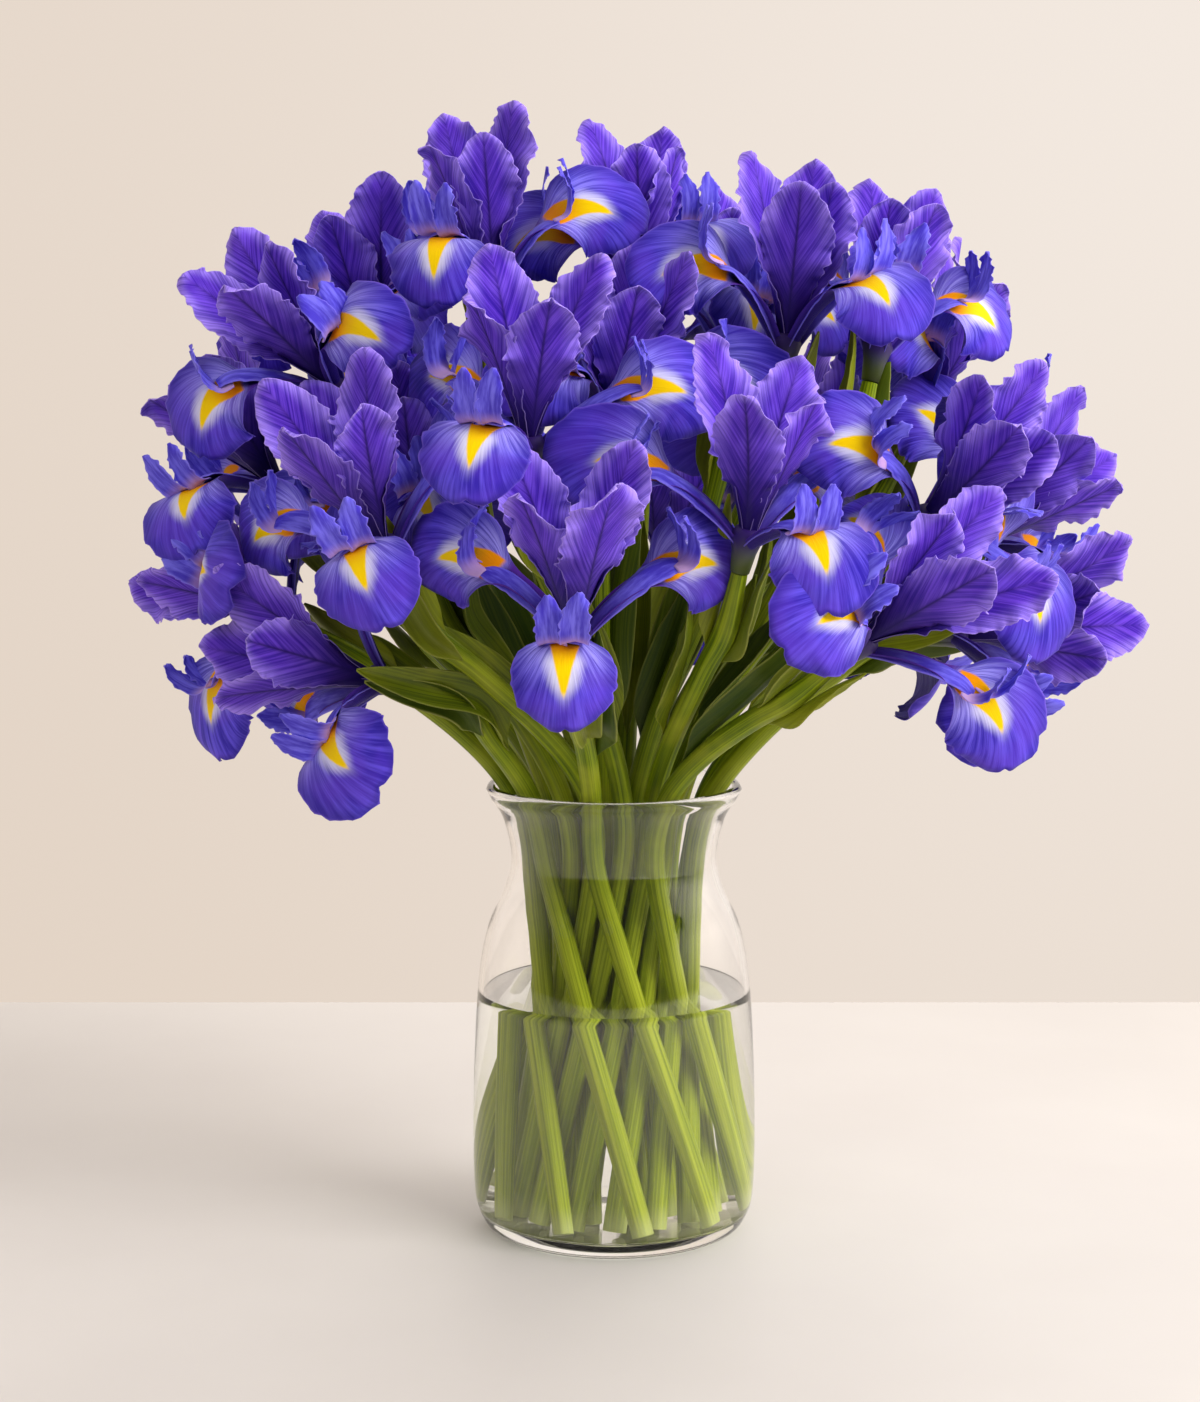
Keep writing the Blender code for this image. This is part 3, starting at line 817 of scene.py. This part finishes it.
def stem_tree():
    tree = new_tree(
        "fluted_stem",
        Sides=("Int", 24),
        Flutes=("Int", 7),
        Flute_Depth=("Float", 0.035),
        Skin=("Material", None),
    )
    ins = tree.nodes.new("NodeGroupInput").outputs
    where = tree.nodes.new("GeometryNodeSplineParameter").outputs
    path = add_node(tree, "GeometryNodeMeshToCurve", Mesh=ins["Path"]).outputs[0]
    path = store(tree, path, "along", "FLOAT", where["Length"])
    thickness = add_node(
        tree, "GeometryNodeInputNamedAttribute", {"data_type": "FLOAT"}, Name="thickness"
    ).outputs[0]
    ring = add_node(
        tree, "GeometryNodeCurvePrimitiveCircle", Resolution=ins["Sides"], Radius=1.0
    ).outputs[0]
    position = tree.nodes.new("GeometryNodeInputPosition").outputs[0]
    ring = store(tree, ring, "round", "FLOAT_VECTOR", position)
    turn = tree_maths(tree, "MULTIPLY", where["Factor"], 2 * math.pi)
    flute = tree_maths(tree, "COSINE", tree_maths(tree, "MULTIPLY", turn, ins["Flutes"]))
    depth = tree_maths(tree, "MULTIPLY", flute, ins["Flute Depth"])
    push = add_node(tree, "ShaderNodeVectorMath", {"operation": "SCALE"}, Scale=depth)
    tree.links.new(position, push.inputs[0])
    ring = add_node(tree, "GeometryNodeSetPosition", Geometry=ring, Offset=push.outputs[0])
    sweep = add_node(
        tree, "GeometryNodeCurveToMesh", Curve=path, Profile_Curve=ring.outputs[0],
        Scale=thickness, Fill_Caps=True,
    )
    smooth = add_node(tree, "GeometryNodeSetShadeSmooth", Geometry=sweep.outputs[0])
    real = add_node(tree, "GeometryNodeRealizeInstances", Geometry=smooth.outputs[0])
    dressed = add_node(
        tree, "GeometryNodeSetMaterial", Geometry=real.outputs[0], Material=ins["Skin"]
    )
    tree.links.new(dressed.outputs[0], tree.nodes.new("NodeGroupOutput").inputs[0])
    return tree


# %% Paint the stems
def paint_stems():
    """Green skin with fine streaks along it, paler at the cut foot, and paler low down: partly its
    own colour, partly painted light.
    """
    paint = Paint("stem_skin", Roughness=0.45, Specular_IOR_Level=0.22)
    along = paint.attribute("along")
    x, y, _ = paint.split(paint.attribute("round", 1))
    streaks = paint.noise(paint.vector(x * 5, y * 5, along * 9), 1.0, 4.0, 0.65)
    patches = paint.noise(paint.node("ShaderNodeTexCoord", output=3), 30.0, 3.0)
    colour = paint.mix(streaks.ramp(0.35, 0.65), tint("4a6204"), tint("8c9f10"))
    colour = paint.mix(patches.ramp(0.4, 0.75) * 0.5, colour, tint("b4b832"))
    # painted light: low down, in the vase, the stem is paler, partly its own paler lower stem and
    # partly standing in for the light that reaches it through glass and water
    wet = paint.mix(streaks.ramp(0.36, 0.64), tint("8ea012"), tint("c2cc34"))
    colour = paint.mix(along.ramp(0.08, 0.2, 0.8, 0.0), colour, wet)
    colour = paint.mix(along.ramp(0.0, 0.012, 0.7, 0.0), colour, tint("cfd68a"))
    return paint.finish(Base_Color=colour, Normal=paint.bump(streaks, 0.4 * MM, 0.4))


STEM_SKIN = paint_stems()

# %% Sweep every stem
STEM_TREE = stem_tree()


def smoothed(values, rounds=6):
    values = values.copy()
    for _ in range(rounds):
        values[1:-1] = (values[:-2] + 2 * values[1:-1] + values[2:]) / 4
    return values


# a cut through a many-sided rod measures a little less than the round rod it stands for
ROUNDING = 1.01


def make_stem(node, number):
    points, radii = ROUTES[node]
    points, radii = smoothed(points), smoothed(radii) * ROUNDING
    mesh = bpy.data.meshes.new("path")
    mesh.from_pydata(points.tolist(), [(i, i + 1) for i in range(len(points) - 1)], [])
    layer = mesh.attributes.new("thickness", "FLOAT", "POINT")
    layer.data.foreach_set("value", radii.astype(np.float32))
    path = placed("path", mesh)
    sweep = path.modifiers.new("sweep", "NODES")
    sweep.node_group = STEM_TREE
    sweep[socket_key(STEM_TREE, "Skin")] = STEM_SKIN
    sweep[socket_key(STEM_TREE, "Flutes")] = 6 + number % 3
    evaluated = path.evaluated_get(bpy.context.evaluated_depsgraph_get())
    made = bpy.data.meshes.new_from_object(evaluated)
    bpy.data.objects.remove(path)
    stem = placed("iris_" + node, made)
    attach(stem, "root")
    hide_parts(node)
    return stem


stems = [make_stem(name, number) for number, name in enumerate(STEMS)]
print("faces in one stem:", len(stems[0].data.polygons))

# %% [markdown]
# ## Leaves and bracts
#
# Two green bracts wrap the stem under every bloom, and were once the bud's jacket. Lower down,
# each stem keeps one leaf that clasps it like a sleeve and then opens into a blade. Both are
# petals in all but colour, so they come from the same sheet function. A leaf must follow its
# stem's bend, so its straight sheet is carried along the stem's own line.


# %% Describe the greens
BRACT = {
    "outline": [(0, 0.3), (0.1, 2.4), (0.25, 5.2), (0.5, 6.6), (0.75, 5.2), (0.92, 2.4), (1, 0.4)],
    "curl": [(0, 0.1), (0.1, 1.4), (0.22, 4.2), (0.38, 4.6), (0.7, 2.6), (1, 0.6)],
    "curl_power": 2.0, "ruffle": (0.3, 20), "frill": (0.1, 8), "nick": (0.05, 9),
    "smooth_to": 0.3, "groove": 0.3, "notch": 0.0, "twist": 0.10, "sway": 1.5, "lean": 1.0,
    "turns_between": (0.5, 1.0),
}
LEAF = {
    "outline": [(0, 0.3), (0.08, 2.4), (0.2, 5.6), (0.42, 8.4), (0.65, 7.6), (0.85, 4.6),
                (0.95, 2.2), (1, 0.4)],
    "curl": [(0, 0.1), (0.08, 1.4), (0.18, 4.6), (0.32, 5.0), (0.6, 4.0), (0.85, 2.2), (1, 0.6)],
    "curl_power": 1.5, "ruffle": (0.4, 26), "frill": (0.1, 8), "nick": (0.05, 9),
    "smooth_to": 0.4, "groove": 0.5, "notch": 0.0, "twist": 0.25, "sway": 4.0, "lean": 3.0,
    "turns_between": (0.5, 1.0),
}
BRACT_SPINE = [(-4.3, 0), (-5.9, 14), (-7.1, 34), (-9.5, 52), (-13.5, 68)]
LEAF_SPINES = {
    "close": [(-4.3, 0), (-6.1, 18), (-7.6, 44), (-9.5, 64), (-13, 84)],
    "open": [(-4.3, 0), (-6.3, 20), (-9.0, 48), (-14.5, 72), (-24, 94), (-37, 112)],
}


# %% Carry a sheet along a stem
def along_stem(route, start, bearing):
    """A function that carries flat petal points to the stem, from this many metres up it."""
    steps = np.concatenate(([0], np.cumsum(np.linalg.norm(np.diff(route, axis=0), axis=1))))
    ends = unit(route[-1] - route[-4])

    def line(up):
        inside = np.stack([np.interp(up, steps, column) for column in route.T], axis=-1)
        return inside + np.clip(up - steps[-1], 0, None)[..., None] * ends

    def carry(points):
        up = start + points[..., 2] * MM
        middle = line(up)
        ahead = line(up + 4 * MM) - line(up - 4 * MM)
        ahead /= np.linalg.norm(ahead, axis=-1)[..., None]
        side = np.array((math.cos(bearing), math.sin(bearing), 0.0))
        out = side - (ahead @ side)[..., None] * ahead
        out /= np.linalg.norm(out, axis=-1)[..., None]
        across = np.cross(ahead, out)
        return middle + out * points[..., :1] * MM + across * points[..., 1:2] * MM

    return carry


# %% Paint the leaves
def paint_leaves():
    paint = Paint("leaf_skin", Roughness=0.45, Specular_IOR_Level=0.28)
    across, along, upper, tone = petal_places(paint)
    ribs = paint.noise(paint.vector(across * 1.5, along * 0.012, tone * 9), 1.0, 3.0, 0.6)
    blotch = paint.noise(paint.node("ShaderNodeTexCoord", output=3), 38.0, 3.0)
    colour = paint.mix(ribs.ramp(0.35, 0.65), tint("3a5206"), tint("76870f"))
    colour = paint.mix(paint.attribute("crest"), colour, tint("969a1c"))
    colour = paint.mix(blotch.ramp(0.45, 0.75) * 0.45, colour, tint("a2a424"))
    colour = paint.mix(tone.ramp(0.3, 1.0, 0, 0.8), colour, tint("22400a"))
    colour = paint.mix(paint.attribute("edge").ramp(0.9, 1.0) * tone * 0.5, colour, tint("b4b458"))
    return paint.finish(Base_Color=colour, Normal=paint.bump(ribs, 0.5 * MM, 0.5))


LEAF_SKIN = paint_leaves()

# %% Grow the greens on every stem
MOUTH_LEVEL = 0.1916


def add_green(pile, kind, spine, rng, carry, young, thickness=0.7, **shape):
    sheet, place = petal_sheet({**kind, "spine": spine}, rng, **shape)
    sheet = sheet[:, ::-1]
    parts = skin(carry(sheet), place[:, ::-1], thickness * MM)
    pile.add(parts, edge_share(sheet), 0, rng.uniform(), young)


def make_greens(node, number):
    route = smoothed(ROUTES[node][0])
    rng = np.random.default_rng(900 + number)
    pile = Pile()
    outwards = math.atan2(route[-1][1], route[-1][0])
    length = np.linalg.norm(np.diff(route, axis=0), axis=1).sum()
    for turn in (0.4, 0.4 + math.pi):
        start = length - rng.uniform(0.038, 0.046)
        carry = along_stem(route, start, outwards + turn + rng.normal(0, 0.3))
        add_green(pile, BRACT, BRACT_SPINE, rng, carry, 0.55, rows=26, columns=13,
                  size=rng.uniform(0.8, 1.0))
    above = np.argmax(route[:, 2] > MOUTH_LEVEL)
    mouth = np.linalg.norm(np.diff(route[: above + 1], axis=0), axis=1).sum()
    room = length - mouth
    style = "open" if number % 3 == 0 and room > 0.1 else "close"
    start = mouth + rng.uniform(0.008, 0.03) + max(0.0, room - 0.16) * rng.uniform(0.1, 0.5)
    carry = along_stem(route, start, outwards + rng.uniform(-1.2, 1.2))
    add_green(pile, LEAF, LEAF_SPINES[style], rng, carry, 0.2, rows=36, columns=13,
              size=rng.uniform(0.85, 1.1))
    greens = pile.build("iris_leaves_" + node[-2:], [LEAF_SKIN], lambda points: points)
    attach(greens, "root")
    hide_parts(node)
    return greens


greens = [make_greens(name, number) for number, name in enumerate(STEMS)]
print("faces in one stem's leaves:", len(greens[0].data.polygons))

# %% [markdown]
# ## Vase
#
# The vase was blown into a turned mould: a heavy foot, a round shoulder, a waist and a flared
# mouth. Light shows glass only by its edges, so it needs far more sides than the CAD solid has,
# a rounded lip and a floor that is thick in the middle. The outline is one smooth curve, spun
# round the axis.

# %% Turn a closed outline
GLASS_OUTSIDE = [
    (50.6, 191.6), (53.4, 191.3), (54.0, 190.2), (52.4, 186.5), (46.8, 177.0), (43.4, 160.0),
    (47.0, 145.0), (53.6, 130.0), (58.0, 104.0), (60.2, 55.0), (59.8, 17.0), (56.4, 4.5),
    (52.5, 1.0), (48.0, 0.0),
]


def turned(name, outline, sides=128):
    """A closed mesh of revolution. The outline starts and ends on the axis."""
    outline = np.array(outline) * MM
    angle = np.linspace(0, 2 * np.pi, sides, endpoint=False)
    rings = [
        np.stack((r * np.cos(angle), r * np.sin(angle), np.full(sides, z)), axis=1)
        for r, z in outline[1:-1]
    ]
    points = [*np.concatenate(rings), (0, 0, outline[0][1]), (0, 0, outline[-1][1])]
    faces = []
    for ring in range(len(rings) - 1):
        for k in range(sides):
            a, b = ring * sides + k, ring * sides + (k + 1) % sides
            faces.append((a, a + sides, b + sides, b))
    last = (len(rings) - 1) * sides
    for k in range(sides):
        faces.append((k, (k + 1) % sides, len(points) - 2))
        faces.append((last + k, len(points) - 1, last + (k + 1) % sides))
    mesh = bpy.data.meshes.new(name)
    mesh.from_pydata([tuple(p) for p in points], [], faces)
    mesh.polygons.foreach_set("use_smooth", np.ones(len(mesh.polygons), bool))
    return placed(name, mesh)


GLASS_WALL = 2.4
outside, _ = eased(GLASS_OUTSIDE, 90)
inside = outside[(outside[:, 1] > 11) & (outside[:, 1] < 188.5)] - (GLASS_WALL, 0)
floor_edge = [(inside[-1][0] - 0.6, 9.6), (inside[-1][0] - 2.0, 8.5), (inside[-1][0] - 5, 8.0)]
floor, lip, foot = [(0, 7.4), (20, 7.5)], (49.6, 190.6), (0, 0.6)
vase_outline = [*floor, *floor_edge[::-1], *inside[::-1], lip, *outside, foot]
vase = turned("vase_glass", vase_outline)
print("vase", [round(v, 4) for v in vase.dimensions])


# %% Paint the glass
def see_through(paint):
    """Lets lamps shine through: shadow rays meet a clear surface, and all other rays refract."""
    tree = paint.tree
    output = next(n for n in tree.nodes if n.type == "OUTPUT_MATERIAL")
    shadow = paint.node("ShaderNodeLightPath", output=1)
    clear = paint.node("ShaderNodeBsdfTransparent", None, (0.985, 0.99, 0.98, 1))
    solid = Socket(paint, paint.shader.outputs[0])
    blend = paint.node("ShaderNodeMixShader", None, shadow, solid, clear)
    tree.links.new(blend.socket, output.inputs["Surface"])
    return paint.material


glass = Paint("clear_glass_look", Base_Color=(1, 1, 1, 1), Roughness=0.0, IOR=1.46,
              Transmission_Weight=1.0)
vase.data.materials.append(see_through(glass))
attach(vase, "root")
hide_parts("vase")

# %% [markdown]
# ## Water
#
# Water touches the glass, so its skin is set a hair inside the glass wall. Light then goes from
# glass straight into water, with no film of air between. The surface climbs a little where it
# meets the glass.

# %% Fill the vase
WATER_LEVEL = 103.0
INTO_GLASS = 0.06
wet = inside[inside[:, 1] < WATER_LEVEL - 1.5] + (INTO_GLASS, 0)
edge_radius = np.interp(WATER_LEVEL, inside[::-1, 1], inside[::-1, 0]) + INTO_GLASS
CLIMB = [(3, 0), (1.2, 0.08), (0.4, 0.25), (0, 0.5)]  # inwards from the glass, and up
surface = [(0, WATER_LEVEL), *((edge_radius - r, WATER_LEVEL + z) for r, z in CLIMB)]
bed = [(r + 0.05, z - 0.06) for r, z in floor_edge]
water = turned("vase_water", [*surface, *wet, *bed, (20, 7.44), (0, 7.34)])
liquid = Paint("clear_water_look", Base_Color=(0.985, 0.99, 0.95, 1), Roughness=0.0, IOR=1.333,
               Transmission_Weight=1.0)
# the top also mirrors a little, which keeps it from looking black from above
surface_skin = Paint("water_surface_look", Base_Color=(1, 1, 1, 1), Roughness=0.0, IOR=1.333,
                     Transmission_Weight=1.0, Metallic=0.4)
water.data.materials.append(see_through(liquid))
water.data.materials.append(see_through(surface_skin))
for face in water.data.polygons:
    face.material_index = int(face.normal.z > 0.9)
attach(water, "root")
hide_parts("water")
print("water", [round(v, 4) for v in water.dimensions])

# %% [markdown]
# ## Table, light and camera
#
# The bunch stands on a pale table in a bright room. The table stops a short way behind the
# vase, and the warm wall beyond it is far off and out of focus, so a plain world colour does
# for it. A thick glass foot gathers light under itself like a lens. Tracing that takes very
# many rays, so the table glows a little under the foot instead.


# %% Lay the table
def plain_sheet(name, corners, material):
    mesh = bpy.data.meshes.new(name)
    mesh.from_pydata(corners, [], [(0, 1, 2, 3)])
    mesh.materials.append(material)
    placed(name, mesh)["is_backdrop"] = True


table_paint = Paint("table_top", Roughness=0.55, Specular_IOR_Level=0.3)
grain = table_paint.noise(table_paint.node("ShaderNodeTexCoord", output=3), 9.0, 4.0)
x, y, _ = table_paint.split(table_paint.node("ShaderNodeTexCoord", output=3))
gathered = ((x * x + y * y) ** 0.5).ramp(0.045, 0.0525, 1, 0)
table_paint.finish(
    Base_Color=table_paint.mix(grain, tint("cec9c5"), tint("d6d2ce")),
    Emission_Color=table_paint.mix(gathered, (0, 0, 0, 1), (0.52, 0.50, 0.46, 1)),
)
table_paint.shader.inputs["Emission Strength"].default_value = 1.0
plain_sheet("table", [(-4, -3, 0), (4, -3, 0), (4, 0.396, 0), (-4, 0.396, 0)], table_paint.material)


# %% Hang the lamps
def lamp(name, place, target, size, power, colour):
    data = bpy.data.lights.new(name, "AREA")
    data.shape, data.energy, data.color = "RECTANGLE", power, colour
    data.size, data.size_y = size
    obj = placed(name, data)
    obj.location = place
    obj.rotation_mode = "QUATERNION"
    obj.rotation_quaternion = (Vector(target) - Vector(place)).to_track_quat("-Z", "Y")
    # the lamps' sharp corners must not show as bright patches in the glass
    obj.visible_glossy = obj.visible_transmission = False


lamp("window", (2.2, -1.15, 1.75), (0, 0, 0.25), (1.8, 1.9), 96, (1.0, 0.985, 0.97))
lamp("room", (-1.2, -2.0, 1.5), (0, 0, 0.25), (1.8, 1.0), 17, (0.97, 0.98, 1.0))
lamp("behind", (0.7, 1.7, 1.7), (0, 0, 0.3), (1.6, 1.0), 22, (1.0, 0.98, 0.95))

# %% [markdown]
# ### The room
#
# The world is the wall behind the table, brighter towards the window, with a soft bright patch
# at the right where the window is. Light in the petals' shadows comes from the whole room. The
# room in front of the table is dimmer than the wall: without that, glass and petals would
# mirror white from every side, and the deep violets would look milky. The camera itself sees
# the wall at its plain brightness.

# %% Light the room
world = bpy.data.worlds.new("room")
bpy.context.scene.world = world
world.use_nodes = True
room = Tree(world.node_tree)
east, north, height = room.split(room.node("ShaderNodeTexCoord", output=0))
wall = room.mix(east.ramp(-0.25, 0.22), tint("e6d8cb"), tint("f3e9e0"))
wall = room.mix(height.ramp(-0.3, 0.1, 0.35, 0), wall, tint("dccab8"))
seen = room.node("ShaderNodeLightPath", output=0)
window_glow = east.ramp(0.72, 0.98) * height.ramp(-0.1, 0.25) * 1.6
dim = north.ramp(-0.7, 0.45, 0.12, 1.1) + window_glow
background = world.node_tree.nodes["Background"]
room.fill(background.inputs["Color"], wall)
room.fill(background.inputs["Strength"], seen + (1 - seen) * dim)

# %% Stand the camera in front
camera = placed("camera", bpy.data.cameras.new("camera"))
camera.location = (0, -1.2, 0.39)
camera.rotation_euler = (math.radians(90 - 7.76), 0, 0)
camera.data.sensor_width = 36
camera.data.lens = 36 * 2880 / 1402
camera.data.shift_x = -14 / 1402
camera.data.clip_start = 0.05
bpy.context.scene.camera = camera
bpy.context.scene.view_settings.view_transform = "Standard"

# %% Compare sizes and finish
look_low, look_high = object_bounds()
for label, low, high in (("CAD", cad_low, cad_high), ("look", look_low, look_high)):
    print(label, [round(v, 3) for v in high - low])
